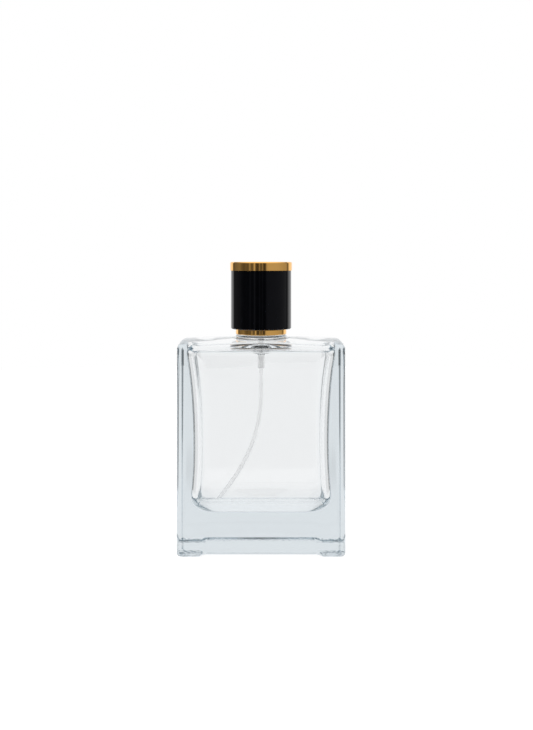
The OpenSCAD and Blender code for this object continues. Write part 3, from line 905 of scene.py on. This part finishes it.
sep = wt.nodes.new("ShaderNodeSeparateXYZ")
wt.links.new(tc.outputs["Generated"], sep.inputs[0])
DX, DY, DZ = sep.outputs
AZ = wmath("MULTIPLY", wmath("ARCTAN2", DX, DY), 180 / math.pi)     # 0 at +Y, 90 at +X, degrees
EL = wmath("MULTIPLY", wmath("ARCSINE", DZ), 180 / math.pi)


def band(value, lo, hi, soft):
    """1 between lo and hi with soft edges, else 0."""
    a = wt.nodes.new("ShaderNodeMapRange")
    a.interpolation_type = "SMOOTHSTEP"
    wt.links.new(value, a.inputs["Value"])
    a.inputs["From Min"].default_value = lo - soft
    a.inputs["From Max"].default_value = lo + soft
    b = wt.nodes.new("ShaderNodeMapRange")
    b.interpolation_type = "SMOOTHSTEP"
    wt.links.new(value, b.inputs["Value"])
    b.inputs["From Min"].default_value = hi - soft
    b.inputs["From Max"].default_value = hi + soft
    b.inputs["To Min"].default_value = 1
    b.inputs["To Max"].default_value = 0
    return wmath("MULTIPLY", a.outputs[0], b.outputs[0])


def total(*parts):
    s = parts[0]
    for p in parts[1:]:
        s = wmath("ADD", s, p)
    return s


def env_curve(value, stops):
    """Brightness over an angle in degrees, -180 to 180, from (angle, level) stops."""
    node = wt.nodes.new("ShaderNodeValToRGB")
    el = node.color_ramp.elements
    while len(el) > 1:
        el.remove(el[-1])
    for i, (ang, lev) in enumerate(stops):
        e = el[0] if i == 0 else el.new((ang + 180) / 360)
        e.position = (ang + 180) / 360
        e.color = (lev, lev, lev, 1)
    wt.links.new(wmath("DIVIDE", wmath("ADD", value, 180.0), 360.0), node.inputs["Fac"])
    return node.outputs["Color"]


# angle from the camera's side: 0 at -Y, 90 at +X, -90 at -X
FRONT = wmath("MULTIPLY", wmath("ARCTAN2", DX, wmath("MULTIPLY", DY, -1.0)), 180 / math.pi)

# what mirror-like surfaces see: white paper behind, a dim room in front with a
# large softbox on the right, a weak one on the left, and narrow gaps of light
# between the stands and flags near the camera
left_side = env_curve(FRONT, [
    (-180, 1.0), (-131, 1.0), (-127, 0.12), (-118, 0.11), (-112, 0.155), (-92, 0.20), (-86, 0.22),
    (-80, 0.15), (-66, 0.09), (-57, 0.135), (-53, 0.10), (-46, 0.13), (-44, 0.30), (-40, 0.30),
    (-38, 0.125), (-29, 0.12), (-26.5, 0.40), (-25, 0.55), (-23, 0.45), (-21, 0.17), (-17, 0.06),
    (-9, 0.06), (-7, 0.26), (-4.5, 0.26), (-3, 0.10), (0, 0.10)])
right_side = env_curve(FRONT, [
    (0, 0.10), (3, 0.10), (4.5, 0.27), (6.5, 0.27), (8, 0.07), (16, 0.05), (19, 0.30), (23, 0.46),
    (30, 0.49), (60, 0.48), (80, 0.45), (100, 0.40), (108, 0.41), (112, 0.18), (118, 0.18),
    (122, 0.30), (126, 1.0), (180, 1.0)])
is_left = wmath("LESS_THAN", FRONT, 0.0)
around = total(wmath("MULTIPLY", left_side, is_left),
               wmath("MULTIPLY", right_side, wmath("SUBTRACT", 1.0, is_left)))
overhead = band(EL, 35, 200, 12)
glossy_env = total(wmath("MULTIPLY", around, wmath("SUBTRACT", 1.0, overhead)),
                   wmath("MULTIPLY", overhead, 1.15))

# what is seen through the glass: white all round, with dark flags beside the
# paper that only the outer edges of the thick glass pick up
shallow = wmath("LESS_THAN", lp.outputs["Transmission Depth"], 2.5)
edge_flags = total(
    wmath("MULTIPLY", band(AZ, 14, 58, 4), 0.90),
    wmath("MULTIPLY", band(AZ, -58, -14, 4), 0.90),
    wmath("MULTIPLY", band(AZ, 64, 116, 4), 0.28),
    wmath("MULTIPLY", band(AZ, -116, -64, 4), 0.28),
    wmath("MULTIPLY", band(AZ, 122, 182, 6), 0.60),
    wmath("MULTIPLY", band(AZ, -182, -122, 6), 0.93))
deep_flags = total(
    wmath("MULTIPLY", band(AZ, 11, 60, 3), 0.17),
    wmath("MULTIPLY", band(AZ, -60, -11, 3), 0.17),
    wmath("MULTIPLY", band(AZ, 64, 84, 4), 0.5),
    wmath("MULTIPLY", band(AZ, -84, -64, 4), 0.5),
    wmath("MULTIPLY", band(AZ, 150, 182, 6), 0.6),
    wmath("MULTIPLY", band(AZ, -182, -150, 6), 0.6))
flags = total(wmath("MULTIPLY", edge_flags, shallow),
              wmath("MULTIPLY", deep_flags, wmath("SUBTRACT", 1.0, shallow)))
flags = wmath("MULTIPLY", flags, band(EL, -30, 9, 4))
trans_env = wmath("SUBTRACT", 1.0, wmath("MINIMUM", flags, 0.95))

is_glossy = lp.outputs["Is Glossy Ray"]
is_trans = lp.outputs["Is Transmission Ray"]
is_cam = lp.outputs["Is Camera Ray"]


def mixv(f, a, b):
    n = wt.nodes.new("ShaderNodeMix")
    n.data_type = "FLOAT"
    wt.links.new(f, n.inputs[0])
    for i, v in ((2, a), (3, b)):
        if isinstance(v, (int, float)):
            n.inputs[i].default_value = v
        else:
            wt.links.new(v, n.inputs[i])
    return n.outputs[0]


level = mixv(is_trans, mixv(is_glossy, 1.0, glossy_env), trans_env)
# what is lit from all sides inside the glass is not shaded by the flags
lit = wmath("GREATER_THAN", lp.outputs["Diffuse Depth"], 0.5)
level = mixv(lit, level, 1.0)
level = mixv(is_cam, level, 1.0)
bg = wt.nodes.new("ShaderNodeBackground")
bg.inputs["Color"].default_value = (1, 1, 1, 1)
wt.links.new(level, bg.inputs["Strength"])
wt.links.new(bg.outputs[0], w_out.inputs["Surface"])

scene.view_settings.view_transform = "Standard"
scene.view_settings.look = "None"
scene.cycles.use_denoising = True
scene.cycles.max_bounces = 32
scene.cycles.transmission_bounces = 28
scene.cycles.glossy_bounces = 16
scene.cycles.diffuse_bounces = 6
scene.cycles.transparent_max_bounces = 16
